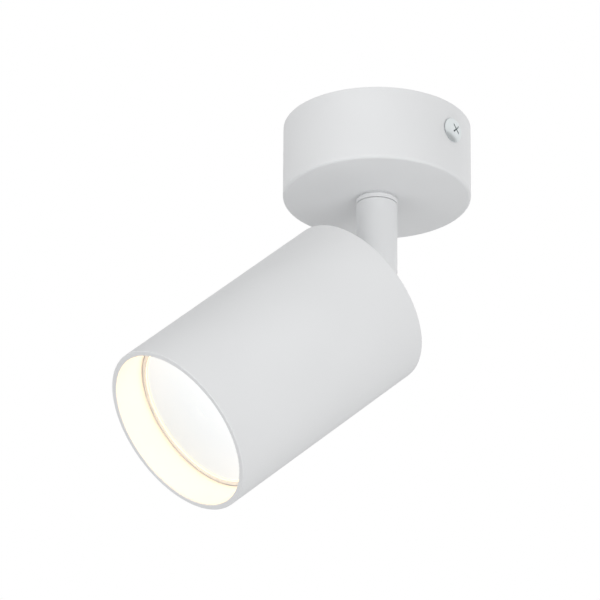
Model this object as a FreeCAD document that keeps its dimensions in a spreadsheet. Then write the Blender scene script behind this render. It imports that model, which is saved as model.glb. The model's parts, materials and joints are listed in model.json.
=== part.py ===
"""Surface mounted ceiling spotlight: a cylinder head on a short stem under a round canopy.

The row frame has its origin on the ceiling, at the centre of the canopy, with +Z up.
The head leans towards -X. Its pieces are drawn about the pivot with the head hanging
straight down, and one placement then tilts them.
"""

import FreeCAD, Part
import math
import os

import Sketcher
from FreeCAD import Placement, Rotation, Vector

SIZES = {
    # canopy
    "canopy_radius": 30.0,
    "canopy_height": 24.8,
    "canopy_wall": 1.5,
    "canopy_floor": 2.0,
    "canopy_edge_round": 1.0,
    # mounting plate and its ears
    "plate_thickness": 1.2,
    "plate_edge_gap": 1.0,
    "window_radius": 10.0,
    "slot_spacing": 34.0,
    "slot_reach": 12.0,
    "slot_half_width": 2.25,
    "ear_width": 12.0,
    "ear_drop": 15.0,
    "ear_corner_gap": 0.25,
    # side screws, M4 pan head
    "side_screw_depth": 9.45,
    "side_screw_angle": -61.6,
    "side_screw_radius": 2.0,
    "side_screw_reach": 7.0,
    "side_head_radius": 4.0,
    "side_head_height": 1.6,
    # swivel: collar, nipple and the stack above the canopy floor
    "collar_radius": 6.7,
    "collar_height": 2.1,
    "collar_band": 1.2,
    "collar_neck_radius": 5.9,
    "nipple_radius": 5.0,
    "nipple_bore": 3.2,
    "nipple_depth": 9.0,
    "nipple_stand": 8.3,
    "flat_half_width": 4.2,
    "slide_washer_radius": 8.5,
    "slide_washer_thickness": 0.5,
    "stop_washer_thickness": 1.0,
    "stop_tab_reach": 13.0,
    "stop_tab_half_width": 1.1,
    "stop_peg_radius": 0.9,
    "stop_peg_place": 12.0,
    "stop_peg_height": 1.9,
    "spring_washer_height": 1.0,
    "spring_washer_thickness": 0.5,
    "lock_nut_flat": 7.0,
    "lock_nut_height": 4.0,
    # stem and fork
    "stem_radius": 6.5,
    "stem_bore": 3.5,
    "pivot_depth": 56.2,
    "fork_slot": 7.8,
    "fork_roof": 5.6,
    "cheek_bearing": 1.2,
    # knuckle
    "tongue_radius": 5.2,
    "tongue_thickness": 7.0,
    "tongue_slot": 4.2,
    "tongue_slot_depth": 4.6,
    "shoulder_radius": 6.8,
    "shoulder_gap": 0.35,
    "spigot_radius": 5.0,
    "friction_washer_thickness": 0.3,
    "friction_washer_radius": 4.6,
    "pivot_screw_radius": 1.5,
    "pivot_screw_grip": 1.3,
    "pivot_head_radius": 2.4,
    "pivot_head_height": 0.8,
    "tongue_washer_radius": 8.0,
    "tongue_washer_thickness": 0.6,
    "tongue_nut_flat": 7.0,
    "tongue_nut_height": 2.6,
    "spigot_proud": 0.5,
    # head tube and rear cap
    "head_tilt": 47.7,
    "pivot_to_head": 9.55,
    "head_radius": 28.05,
    "head_wall": 1.85,
    "head_length": 81.0,
    "head_edge_round": 0.35,
    "cap_thickness": 3.0,
    "cap_ledge": 0.6,
    # lamp, GU10 with a 50 mm face
    "mouth_recess": 11.5,
    "ring_gap": 0.2,
    "ring_lap": 0.35,
    "ring_thickness": 0.7,
    "lamp_gap": 1.2,
    "lamp_wall": 1.4,
    "lamp_rim_height": 5.0,
    "lamp_neck_radius": 12.5,
    "lamp_body_height": 33.0,
    "lamp_height": 44.9,
    "lens_inset": 0.6,
    "lens_dome": 1.1,
    "lens_seat": 1.4,
    "board_gap": 1.2,
    "board_thickness": 1.6,
    "board_depth": 6.5,
    "led_side": 2.8,
    "led_height": 0.7,
    "led_circle": 13.0,
    "pin_spacing": 10.0,
    "pin_neck_radius": 1.5,
    "pin_head_radius": 2.4,
    "pin_neck_length": 4.4,
    "pin_head_length": 2.6,
    # lamp socket and its strap
    "socket_length": 27.0,
    "socket_width": 17.0,
    "socket_height": 12.0,
    "socket_front_wall": 3.8,
    "socket_channel": 5.2,
    "socket_back_cavity": 2.2,
    "socket_cavity_radius": 6.0,
    "keyhole_half_width": 1.75,
    "keyhole_head_radius": 2.8,
    "twist_angle": 30.0,
    "socket_screw_place": 10.5,
    "strap_thickness": 1.0,
    "strap_width": 14.0,
    "strap_corner_gap": 1.68,
    "strap_leg_gap": 3.2,
    "strap_window_radius": 5.5,
    "bracket_screw_inset": 3.3,
    "contact_side": 3.8,
    "contact_height": 1.9,
    "contact_strip": 0.4,
    # small screws, M3
    "small_screw_radius": 1.5,
    "small_head_radius": 2.75,
    "small_head_height": 1.7,
    "small_screw_grip": 1.9,
    # terminal block, two poles
    "block_corner_gap": 1.19,
    "block_length": 15.6,
    "block_width": 14.0,
    "block_height": 11.0,
    "pole_spacing": 7.8,
    "clamp_half_side": 2.5,
    "clamp_bore": 1.6,
    "clamp_screw_place": 3.6,
    # earth point
    "earth_inset": 9.5,
    "lug_radius": 3.8,
    "lug_thickness": 0.8,
    "lug_tail": 6.5,
    # leads
    "lead_radius": 0.8,
    "lead_ring": 0.95,
    "sleeve_radius": 1.95,
    "sleeve_bend_start": 5.0,
    "sleeve_proud": 0.5,
    # clearances
    "seat_gap": 0.05,
    "thread_gap": 0.05,
    "running_gap": 0.05,
    "hole_gap": 0.15,
    "face_gap": 0.1,
    "body_gap": 0.3,
}

LED_COUNT = 8
CROSS_SHARE = 0.55
PARTS_FOLDER = "parts"

document = FreeCAD.newDocument("ceiling_spotlight")
sheet = document.addObject("Spreadsheet::Sheet", "Sizes")
sub_parts = {}


# ---------------------------------------------------------------- sizes that carry their formula


class Amount:
    """A length or an angle: its value, and the sheet formula that it comes from."""

    def __init__(self, value, formula):
        self.value = value
        self.formula = formula

    def __float__(self):
        return float(self.value)

    def __neg__(self):
        return Amount(-self.value, f"(-{self.formula})")

    def __add__(self, other):
        other = amount(other)
        return Amount(self.value + other.value, f"({self.formula} + {other.formula})")

    def __sub__(self, other):
        other = amount(other)
        return Amount(self.value - other.value, f"({self.formula} - {other.formula})")

    def __mul__(self, other):
        other = amount(other)
        return Amount(self.value * other.value, f"({self.formula} * {other.formula})")

    def __truediv__(self, other):
        other = amount(other)
        return Amount(self.value / other.value, f"({self.formula} / {other.formula})")

    def __radd__(self, other):
        return amount(other) + self

    def __rsub__(self, other):
        return amount(other) - self

    def __rmul__(self, other):
        return amount(other) * self


def amount(number):
    """An Amount from a plain number, or the Amount itself."""
    if isinstance(number, Amount):
        return number
    return Amount(number, f"({number})")


def root(square):
    """The square root of an amount."""
    return Amount(math.sqrt(square.value), f"sqrt({square.formula})")


def cosine(angle):
    """The cosine of an angle in degrees."""
    angle = amount(angle)
    return Amount(math.cos(math.radians(angle.value)), f"cos({angle.formula})")


def sine(angle):
    """The sine of an angle in degrees."""
    angle = amount(angle)
    return Amount(math.sin(math.radians(angle.value)), f"sin({angle.formula})")


class Sizes:
    """The driving dimensions, read back from the sheet by name."""

    def __init__(self, values):
        for row, (name, value) in enumerate(values.items(), start=1):
            sheet.set(f"A{row}", name)
            sheet.set(f"B{row}", str(value))
            sheet.setAlias(f"B{row}", name)
        document.recompute()
        for name in values:
            setattr(self, name, Amount(float(sheet.get(name)), f"Sizes.{name}"))


size = Sizes(SIZES)


class Levels:
    """Places worked out from the sizes. Canopy and stem levels are below the ceiling."""

    # canopy
    canopy_bore = size.canopy_radius - size.canopy_wall
    canopy_under = -size.canopy_height
    floor_top = canopy_under + size.canopy_floor
    plate_under = -size.plate_thickness
    plate_radius = canopy_bore - size.plate_edge_gap
    ear_outside = root(
        (canopy_bore - size.ear_corner_gap) * (canopy_bore - size.ear_corner_gap)
        - size.ear_width * size.ear_width / 4
    )
    ear_inside = ear_outside - size.plate_thickness
    earth_place = plate_radius - size.earth_inset
    block_outside = root(
        (canopy_bore - size.block_corner_gap) * (canopy_bore - size.block_corner_gap)
        - size.block_width * size.block_width / 4
    )
    block_inside = block_outside - size.block_length
    block_centre = block_outside - size.block_length / 2
    # swivel
    collar_under = canopy_under - size.collar_height
    stem_top = collar_under - size.body_gap
    nipple_hole = size.nipple_radius + size.running_gap
    nipple_foot = stem_top - size.nipple_depth
    nipple_top = floor_top + size.nipple_stand
    slide_washer_under = floor_top + size.seat_gap
    stop_washer_under = slide_washer_under + size.slide_washer_thickness
    spring_washer_under = stop_washer_under + size.stop_washer_thickness
    lock_nut_under = spring_washer_under + size.spring_washer_height
    # knuckle, measured from the pivot
    shoulder_back = -size.stem_radius - size.shoulder_gap
    spigot_bore = size.tongue_slot / 2 + size.face_gap
    head_back = -size.pivot_to_head
    cap_front = head_back - size.cap_thickness
    strap_foot_front = cap_front - size.strap_thickness
    head_lug_front = strap_foot_front - size.lug_thickness
    tongue_nut_back = cap_front - size.tongue_washer_thickness
    spigot_end = tongue_nut_back - size.tongue_nut_height - size.spigot_proud
    # head and lamp, measured from the pivot
    head_bore = size.head_radius - size.head_wall
    lamp_radius = head_bore - size.lamp_gap
    lamp_inside = lamp_radius - size.lamp_wall * 2
    lens_radius = lamp_radius - size.lens_inset
    board_radius = lamp_inside - size.board_gap
    ring_radius = head_bore - size.ring_gap
    ring_bore = lamp_radius - size.ring_lap
    strap_foot = root(
        (head_bore - size.strap_corner_gap) * (head_bore - size.strap_corner_gap)
        - size.strap_width * size.strap_width / 4
    )
    bracket_screw_place = strap_foot - size.bracket_screw_inset
    strap_leg = bracket_screw_place - size.strap_leg_gap
    head_lug_radius = size.strap_leg_gap - size.face_gap
    mouth = head_back - size.head_length
    ring_front = mouth + size.mouth_recess
    ring_back = ring_front + size.ring_thickness
    lamp_face = ring_back + size.seat_gap
    lamp_back = lamp_face + size.lamp_height
    socket_front = lamp_back + size.body_gap
    socket_back = socket_front + size.socket_height
    channel_front = socket_front + size.socket_front_wall
    channel_back = channel_front + size.socket_channel
    cavity_front = socket_back - size.socket_back_cavity
    strap_back = socket_back + size.strap_thickness
    # leads
    sleeve_top = nipple_top + size.sleeve_proud
    sleeve_end = spigot_end - size.sleeve_proud
    clamp_level = plate_under - size.block_height / 2


at = Levels


# ---------------------------------------------------------------- document helpers


def bind(thing, name, number):
    """Set one property: from its formula where it has one, or as a plain number."""
    if isinstance(number, Amount):
        thing.setExpression(name, number.formula)
    else:
        setattr(thing, name, number)


def move(thing, place, rotation=None):
    """Put a thing at (x, y, z), turned by a fixed rotation."""
    start = Vector(*[float(number) for number in place])
    thing.Placement = Placement(start, rotation or Rotation())
    for letter, number in zip("xyz", place):
        if isinstance(number, Amount):
            thing.setExpression(f"Placement.Base.{letter}", number.formula)
    return thing


def tilt_with_head(thing):
    """Hang a thing on the pivot and tilt it with the head."""
    turn = Rotation(Vector(0, 1, 0), float(size.head_tilt))
    thing.Placement = Placement(Vector(0, 0, -float(size.pivot_depth)), turn)
    thing.setExpression("Placement.Base.z", (-size.pivot_depth).formula)
    thing.setExpression("Placement.Rotation.Angle", size.head_tilt.formula)


def keep(thing, label):
    """Name a finished sub-part."""
    thing.Label = label
    sub_parts[label] = thing
    return thing


def keep_in_head(thing, label):
    """Name a finished sub-part of the head, and tilt it."""
    tilt_with_head(thing)
    return keep(thing, label)


def new_body(name):
    """An empty body."""
    return document.addObject("PartDesign::Body", name)


def sketch_on(body, role, name, level=0):
    """A sketch on one of the body's origin planes, moved along the plane's normal."""
    sketch = body.newObject("Sketcher::SketchObject", name)
    plane = next(item for item in body.Origin.OriginFeatures if item.Role == role)
    sketch.AttachmentSupport = [(plane, "")]
    sketch.MapMode = "FlatFace"
    if isinstance(level, Amount):
        sketch.setExpression("AttachmentOffset.Base.z", level.formula)
    return sketch


def pin_point(sketch, geometry, point, place):
    """Hold one point of a sketch at (x, y) from the sketch's origin."""
    for letter, axis, number in (("X", -2, place[0]), ("Y", -1, place[1])):
        if isinstance(number, Amount):
            rule = Sketcher.Constraint(f"Distance{letter}", -1, 1, geometry, point, float(number))
            index = sketch.addConstraint(rule)
            sketch.setExpression(f"Constraints[{index}]", number.formula)
        else:
            sketch.addConstraint(Sketcher.Constraint("PointOnObject", geometry, point, axis))


def outline(sketch, corners):
    """A closed outline of straight lines. A corner's coordinate is an Amount, or 0."""
    first = sketch.GeometryCount
    count = len(corners)
    points = [Vector(float(x), float(y), 0) for x, y in corners]
    for index in range(count):
        sketch.addGeometry(Part.LineSegment(points[index], points[(index + 1) % count]))
    for index in range(count):
        after = (index + 1) % count
        sketch.addConstraint(Sketcher.Constraint("Coincident", first + index, 2, first + after, 1))
    for index, corner in enumerate(corners):
        pin_point(sketch, first + index, 1, corner)


def ring_line(sketch, radius, centre=(0, 0)):
    """A circle in a sketch."""
    middle = Vector(float(centre[0]), float(centre[1]), 0)
    index = sketch.addGeometry(Part.Circle(middle, Vector(0, 0, 1), float(radius)))
    rule = sketch.addConstraint(Sketcher.Constraint("Radius", index, float(radius)))
    sketch.setExpression(f"Constraints[{rule}]", radius.formula)
    if centre[0] == 0 and centre[1] == 0:
        sketch.addConstraint(Sketcher.Constraint("Coincident", index, 3, -1, 1))
    else:
        pin_point(sketch, index, 3, centre)


def turned(name, corners):
    """A body turned about Z from an outline of (radius, level) corners."""
    body = new_body(name)
    profile = sketch_on(body, "XZ_Plane", f"{name}_profile")
    outline(profile, corners)
    turn = body.newObject("PartDesign::Revolution", f"{name}_turned")
    turn.Profile = (profile, [""])
    turn.ReferenceAxis = (profile, ["V_Axis"])
    turn.Angle = 360
    return body


def pad(body, sketch, height, both_ways=False, downwards=False):
    """Raise a sketch into a solid."""
    raised = body.newObject("PartDesign::Pad", f"{sketch.Name}_pad")
    raised.Profile = (sketch, [""])
    raised.Midplane = both_ways
    raised.Reversed = downwards
    bind(raised, "Length", height)
    return raised


def pocket(body, sketch, depth, both_ways=False, upwards=False):
    """Sink a sketch into the solid, and check that it removed something."""
    document.recompute()
    before = body.Shape.Volume
    sunk = body.newObject("PartDesign::Pocket", f"{sketch.Name}_pocket")
    sunk.Profile = (sketch, [""])
    sunk.Midplane = both_ways
    sunk.Reversed = upwards
    bind(sunk, "Length", depth)
    document.recompute()
    if body.Shape.Volume >= before:
        raise ValueError(f"{sketch.Name} removes nothing")
    return sunk


def round_rings(body, rings, radius, name):
    """Round the circular edges at the given (radius, level) pairs."""
    document.recompute()
    feature = body.Tip
    names = []
    for number, edge in enumerate(feature.Shape.Edges, start=1):
        if not isinstance(edge.Curve, Part.Circle):
            continue
        for ring_radius, level in rings:
            same_radius = abs(edge.Curve.Radius - float(ring_radius)) < 1e-4
            same_level = abs(edge.Curve.Center.z - float(level)) < 1e-4
            if same_radius and same_level:
                names.append(f"Edge{number}")
    rounded = body.newObject("PartDesign::Fillet", name)
    rounded.Base = (feature, names)
    bind(rounded, "Radius", radius)
    return rounded


def box(name, low, high):
    """A box between two corners."""
    thing = document.addObject("Part::Box", name)
    for prop, start, end in zip(("Length", "Width", "Height"), low, high):
        bind(thing, prop, amount(end) - amount(start))
    return move(thing, low)


def rod(name, radius, foot, reach, along="Z", angle=None):
    """A cylinder from its foot, along X, Y or Z. An angle makes it a slice of one."""
    turns = {
        "X": Rotation(Vector(0, 1, 0), 90),
        "Y": Rotation(Vector(1, 0, 0), -90),
        "Z": Rotation(),
    }
    thing = document.addObject("Part::Cylinder", name)
    bind(thing, "Radius", radius)
    bind(thing, "Height", reach)
    if angle is not None:
        bind(thing, "Angle", angle)
    return move(thing, foot, turns[along])


def hexagon(name, flat, foot, height):
    """A hexagonal prism from its across-flats half width."""
    thing = document.addObject("Part::Prism", name)
    thing.Polygon = 6
    bind(thing, "Circumradius", flat / cosine(30))
    bind(thing, "Height", height)
    return move(thing, foot)


def fuse(name, things):
    """Several things as one solid."""
    thing = document.addObject("Part::MultiFuse", name)
    thing.Shapes = things
    thing.Refine = True
    return thing


def common(name, things):
    """What several things share."""
    thing = document.addObject("Part::MultiCommon", name)
    thing.Shapes = things
    return thing


def cut(name, base, tools):
    """A thing less its tools."""
    thing = document.addObject("Part::Cut", name)
    thing.Base = base
    thing.Tool = tools[0] if len(tools) == 1 else fuse(f"{name}_tools", tools)
    return thing


def group(name, things):
    """Separate solids kept as one sub-part."""
    thing = document.addObject("Part::Compound", name)
    thing.Links = things
    return thing


def lead(name, points, bend, radius):
    """A round lead along straight runs joined by tangent arcs of one bend radius."""
    places = [Vector(*[float(number) for number in point]) for point in points]
    edges = []
    start = places[0]
    for before, corner, after in zip(places, places[1:], places[2:]):
        inwards = (before - corner).normalize()
        outwards = (after - corner).normalize()
        turn = math.pi - inwards.getAngle(outwards)
        setback = float(bend) * math.tan(turn / 2)
        arc_start = corner + inwards * setback
        arc_end = corner + outwards * setback
        middle_way = (inwards + outwards).normalize()
        reach = math.hypot(float(bend), setback)
        arc_middle = corner + middle_way * (reach - float(bend))
        edges.append(Part.LineSegment(start, arc_start).toShape())
        edges.append(Part.Arc(arc_start, arc_middle, arc_end).toShape())
        start = arc_end
    edges.append(Part.LineSegment(start, places[-1]).toShape())
    path = Part.Wire(edges)
    section = Part.Wire(Part.Circle(places[0], places[1] - places[0], float(radius)).toShape())
    solid = path.makePipeShell([section], True, False)
    expected = math.pi * float(radius) ** 2 * path.Length
    if abs(solid.Volume - expected) > 0.02 * expected:
        raise ValueError(f"{name} has the wrong volume")
    thing = document.addObject("Part::Feature", name)
    thing.Shape = solid
    return thing


# ---------------------------------------------------------------- screws


def screw(name, radius, reach, head_radius, head_height, recess="cross"):
    """A pan-head screw: head underside at level 0, head up, shank down."""
    body = turned(name, [
        (0, -reach),
        (radius * 0.8, -reach),
        (radius, -reach + radius * 0.2),
        (radius, 0),
        (head_radius, 0),
        (head_radius, head_height),
        (0, head_height),
    ])
    round_rings(body, [(head_radius, head_height)], head_height * CROSS_SHARE, f"{name}_round")
    arm = head_radius * CROSS_SHARE
    slot = head_radius * 0.13
    sketch = sketch_on(body, "XY_Plane", f"{name}_recess", head_height)
    if recess == "cross":
        outline(sketch, [
            (slot, slot), (arm, slot), (arm, -slot), (slot, -slot),
            (slot, -arm), (-slot, -arm), (-slot, -slot), (-arm, -slot),
            (-arm, slot), (-slot, slot), (-slot, arm), (slot, arm),
        ])
    else:
        wide = head_radius * 1.1
        outline(sketch, [(wide, slot), (wide, -slot), (-wide, -slot), (-wide, slot)])
    pocket(body, sketch, head_height * CROSS_SHARE)
    return body


def small_screw(name, reach):
    """An M3 pan-head screw."""
    return screw(
        name, size.small_screw_radius, reach, size.small_head_radius, size.small_head_height
    )


# ---------------------------------------------------------------- ceiling side


def mounting_plate():
    """A disc with a wire window, two ceiling slots and two bent-down ears."""
    disc = rod("plate_disc", at.plate_radius, (0, 0, at.plate_under), size.plate_thickness)
    through = size.plate_thickness * 3
    below = at.plate_under - size.plate_thickness
    cuts = [rod("wire_window", size.window_radius, (0, 0, below), through)]
    half = size.slot_half_width
    for side in (1, -1):
        middle = size.slot_spacing * side / 2
        run = size.slot_reach / 2 - half
        low = middle - run
        high = middle + run
        cuts.append(box(f"slot_{side}", (-half, low, below), (half, high, below + through)))
        cuts.append(rod(f"slot_low_{side}", half, (0, low, below), through))
        cuts.append(rod(f"slot_high_{side}", half, (0, high, below), through))
    hole = size.side_screw_radius + size.thread_gap
    cuts.append(rod("earth_hole", hole, (-at.earth_place, 0, below), through))
    cuts.append(rod("block_hole", size.small_screw_radius + size.thread_gap,
                    (at.block_centre, 0, below), through))
    ears = [mounting_ear(side) for side in (1, -1)]
    solid = fuse("plate_with_ears", [disc] + ears)
    keep(cut("mounting_plate_solid", solid, cuts), "mounting_plate")


def mounting_ear(side):
    """One bent-down ear with the tapped hole of a side screw."""
    width = size.ear_width / 2
    inner = at.ear_inside * side
    outer = at.ear_outside * side
    low_x, high_x = (inner, outer) if side > 0 else (outer, inner)
    tab = box(f"ear_tab_{side}", (low_x, -width, -size.ear_drop), (high_x, width, 0))
    hole = rod(
        f"ear_hole_{side}",
        size.side_screw_radius + size.thread_gap,
        (low_x - size.plate_thickness, 0, -size.side_screw_depth),
        size.plate_thickness * 3,
        "X",
    )
    ear = cut(f"ear_{side}", tab, [hole])
    return turn_to_side_screws(ear)


def turn_to_side_screws(thing):
    """Turn a thing about Z to the direction of the side screws."""
    thing.Placement = Placement(Vector(), Rotation(Vector(0, 0, 1), float(size.side_screw_angle)))
    thing.setExpression("Placement.Rotation.Angle", size.side_screw_angle.formula)
    return thing


def canopy_cover():
    """The round cup, with its swivel hole, stop peg and side screw holes."""
    body = turned("canopy_cup", [
        (at.nipple_hole, at.canopy_under),
        (size.canopy_radius, at.canopy_under),
        (size.canopy_radius, 0),
        (at.canopy_bore, 0),
        (at.canopy_bore, at.floor_top),
        (at.nipple_hole, at.floor_top),
    ])
    round_rings(body, [(size.canopy_radius, at.canopy_under)], size.canopy_edge_round, "cup_edge")
    round_rings(body, [(at.canopy_bore, at.floor_top)], size.canopy_edge_round, "cup_corner")
    peg = rod(
        "stop_peg",
        size.stop_peg_radius,
        (-size.stop_peg_place, 0, at.floor_top - size.canopy_floor / 2),
        size.stop_peg_height + size.canopy_floor / 2,
    )
    across = rod(
        "side_screw_holes",
        size.side_screw_radius + size.hole_gap,
        (-size.canopy_radius - size.canopy_wall, 0, -size.side_screw_depth),
        (size.canopy_radius + size.canopy_wall) * 2,
        "X",
    )
    holes = turn_to_side_screws(group("side_screw_line", [across]))
    keep(cut("canopy_cover_solid", fuse("cup_with_peg", [body, peg]), [holes]), "canopy_cover")


def canopy_screws():
    """Two M4 screws through the canopy wall into the ears."""
    screws = []
    for side in (1, -1):
        body = screw(
            f"side_screw_{'in' if side > 0 else 'out'}",
            size.side_screw_radius,
            size.side_screw_reach,
            size.side_head_radius,
            size.side_head_height,
        )
        place = ((size.canopy_radius + size.seat_gap) * side, 0, -size.side_screw_depth)
        screws.append(move(body, place, Rotation(Vector(0, 1, 0), 90 * side)))
    keep(turn_to_side_screws(group("side_screw_pair", screws)), "canopy_screws")


def swivel_collar():
    """The thin collar under the canopy: a plain band below a tapered neck."""
    body = turned("collar", [
        (at.nipple_hole, at.collar_under),
        (size.collar_radius, at.collar_under),
        (size.collar_radius, at.collar_under + size.collar_band),
        (size.collar_neck_radius, at.canopy_under),
        (at.nipple_hole, at.canopy_under),
    ])
    round_rings(body, [(size.collar_radius, at.collar_under)], size.collar_band / 5, "collar_edge")
    keep(body, "swivel_collar")


def poles():
    """The X places of the two terminal poles."""
    return [at.block_centre - size.pole_spacing / 2, at.block_centre + size.pole_spacing / 2]


def terminal_housing():
    """The moulded block, open for two clamps, their screws and the fixing screw."""
    half = size.block_width / 2
    block = box(
        "block",
        (at.block_inside, -half, at.plate_under - size.block_height),
        (at.block_outside, half, at.plate_under),
    )
    side = size.clamp_half_side + size.face_gap
    cuts = []
    for number, place in enumerate(poles()):
        cuts.append(box(
            f"clamp_room_{number}",
            (place - side, -half - side, at.clamp_level - side),
            (place + side, half + side, at.clamp_level + side),
        ))
        for way in (1, -1):
            cuts.append(rod(
                f"driver_hole_{number}_{way}",
                size.small_screw_radius + size.hole_gap,
                (place, size.clamp_screw_place * way, at.plate_under - size.block_height - side),
                side + size.block_height / 2,
            ))
    hole = size.small_screw_radius - size.lead_radius / 2 + size.hole_gap
    reach = size.block_height * 2
    cuts.append(rod("fixing_hole", hole, (at.block_centre, 0, at.plate_under - reach), reach))
    keep(cut("terminal_housing_solid", block, cuts), "terminal_housing")


def terminal_clamps():
    """Two brass clamps, each a square bar with a wire bore and two screw holes."""
    half = size.block_width / 2 - size.body_gap
    side = size.clamp_half_side
    clamps = []
    for number, place in enumerate(poles()):
        bar = box(
            f"clamp_bar_{number}",
            (place - side, -half, at.clamp_level - side),
            (place + side, half, at.clamp_level + side),
        )
        wire = rod(
            f"clamp_wire_{number}", size.clamp_bore,
            (place, -half * 2, at.clamp_level), half * 4, "Y",
        )
        holes = [
            rod(
                f"clamp_thread_{number}_{way}",
                size.small_screw_radius + size.thread_gap,
                (place, size.clamp_screw_place * way, at.clamp_level - side * 2),
                side * 2,
            )
            for way in (1, -1)
        ]
        clamps.append(cut(f"clamp_{number}", bar, [wire] + holes))
    keep(group("clamp_pair", clamps), "terminal_clamps")


def terminal_screws():
    """Four grub screws, one at each end of each clamp."""
    screws = []
    for number, place in enumerate(poles()):
        for way in (1, -1):
            foot = at.clamp_level - size.clamp_half_side - size.face_gap
            grub = rod(
                f"grub_{number}_{way}", size.small_screw_radius,
                (place, size.clamp_screw_place * way, foot), size.clamp_half_side,
            )
            slot = size.small_screw_radius / 5
            wide = size.small_screw_radius * 2
            groove = box(
                f"grub_slot_{number}_{way}",
                (place - wide, size.clamp_screw_place * way - slot, foot - slot),
                (place + wide, size.clamp_screw_place * way + slot, foot + slot * 2),
            )
            screws.append(cut(f"grub_screw_{number}_{way}", grub, [groove]))
    keep(group("grub_screws", screws), "terminal_screws")


def terminal_fixing_screw():
    """The screw that holds the block to the plate."""
    reach = size.block_height + size.plate_thickness * 0.7
    body = screw(
        "fixing_screw",
        size.small_screw_radius - size.lead_radius / 2,
        reach,
        size.small_screw_radius,
        size.small_head_height * 0.6,
    )
    level = at.plate_under - size.block_height - size.seat_gap
    keep(move(body, (at.block_centre, 0, level), Rotation(Vector(1, 0, 0), 180)),
         "terminal_fixing_screw")


def earth_point():
    """The earth screw, its washer and the ring lug, in a stack under the plate."""
    place = -at.earth_place
    lug_top = at.plate_under
    lug_under = lug_top - size.lug_thickness
    washer_under = lug_under - size.lug_thickness
    hole = size.side_screw_radius + size.hole_gap
    disc = rod("lug_disc", size.lug_radius, (place, 0, lug_under), size.lug_thickness)
    tail = box(
        "lug_tail_bar",
        (place, -size.lug_radius / 3, lug_under),
        (place + size.lug_tail, size.lug_radius / 3, lug_top),
    )
    opening = rod("lug_opening", hole, (place, 0, washer_under), size.lug_thickness * 3)
    keep(cut("earth_lug_solid", fuse("lug_blank", [disc, tail]), [opening]), "earth_lug")
    washer = rod("washer_disc", size.lug_radius, (place, 0, washer_under), size.lug_thickness)
    bore = rod("washer_bore", hole, (place, 0, washer_under - hole), hole * 3)
    keep(cut("earth_washer_solid", washer, [bore]), "earth_washer")
    reach = size.lug_thickness * 2 + size.plate_thickness * 0.8
    body = screw(
        "earth_screw_body", size.side_screw_radius, reach,
        size.side_head_radius, size.side_head_height,
    )
    level = washer_under - size.seat_gap
    keep(move(body, (place, 0, level), Rotation(Vector(1, 0, 0), 180)), "earth_screw")


def lead_start(number):
    """Where one of the three leads stands round the sleeve's axis."""
    turn = amount(-90 + 120 * number)
    return size.lead_ring * cosine(turn), size.lead_ring * sine(turn)


def canopy_leads():
    """Live and neutral to the terminal block, earth to its lug."""
    foot = at.sleeve_top + size.seat_gap
    bend = size.lead_radius * 3
    rise = foot + bend * 2
    end_y = -(size.block_width / 2) + size.lead_radius
    near_pole, far_pole = poles()
    first_x, first_y = lead_start(0)
    second_x, second_y = lead_start(1)
    third_x, third_y = lead_start(2)
    live = [
        (first_x, first_y, foot),
        (first_x, first_y, rise),
        (near_pole * 0.45, end_y - bend * 3, rise + bend),
        (near_pole, end_y - bend * 3, at.clamp_level),
        (near_pole, end_y, at.clamp_level),
    ]
    neutral = [
        (second_x, second_y, foot),
        (second_x, second_y, rise + bend),
        (near_pole * 0.6, end_y - bend, at.plate_under - bend * 1.2),
        (far_pole - bend, end_y - bend * 3.2, at.clamp_level + bend * 0.8),
        (far_pole, end_y - bend * 1.8, at.clamp_level),
        (far_pole, end_y, at.clamp_level),
    ]
    lug_end = -at.earth_place + size.lug_tail
    level = at.plate_under - size.lug_thickness - size.lead_radius - size.seat_gap
    earth = [
        (third_x, third_y, foot),
        (third_x, third_y, rise),
        (lug_end + bend * 2, third_y, level),
        (lug_end - bend, 0, level),
    ]
    keep(lead("live_run", live, bend, size.lead_radius), "canopy_live_lead")
    keep(lead("neutral_run", neutral, size.lead_radius * 2.5, size.lead_radius), "canopy_neutral_lead")
    keep(lead("earth_run", earth, bend, size.lead_radius), "canopy_earth_lead")


# ---------------------------------------------------------------- stem


def stem_tube():
    """The round stem: a seat for the nipple on top, a rounded fork at the pivot."""
    bottom = -size.pivot_depth - size.stem_radius
    seat = size.nipple_radius + size.thread_gap
    body = turned("stem_bar", [
        (size.stem_bore, bottom),
        (size.stem_radius, bottom),
        (size.stem_radius, at.stem_top),
        (seat, at.stem_top),
        (seat, at.nipple_foot),
        (size.stem_bore, at.nipple_foot),
    ])
    wide = size.stem_radius * 2
    pivot = -size.pivot_depth
    end_round = rod("fork_round", size.stem_radius, (0, -wide, pivot), wide * 2, "Y")
    above = box("fork_above", (-wide, -wide, pivot), (wide, wide, at.stem_top + wide))
    shaped = common("stem_rounded", [body, fuse("fork_envelope", [end_round, above])])
    half = size.fork_slot / 2
    slot = box(
        "fork_slot_room",
        (-wide, -half, bottom - size.stem_radius),
        (wide, half, pivot + size.fork_roof),
    )
    bore = rod("pivot_bore", size.pivot_screw_radius + size.running_gap,
               (0, -wide, pivot), wide * 2, "Y")
    cuts = [slot, bore]
    face = half + size.cheek_bearing
    room = size.pivot_head_radius + size.face_gap
    cuts.append(rod("head_room_far", room, (0, face, pivot), wide, "Y"))
    cuts.append(rod("head_room_near", room, (0, -face - wide, pivot), wide, "Y"))
    keep(cut("stem_tube_solid", shaped, cuts), "stem_tube")


def flats(name, half_width, low, high):
    """Two blocks that leave a pair of flats on a round bar."""
    wide = size.nipple_radius * 2
    return [
        box(f"{name}_far", (-wide, half_width, low), (wide, half_width + wide, high)),
        box(f"{name}_near", (-wide, -half_width - wide, low), (wide, -half_width, high)),
    ]


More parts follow.
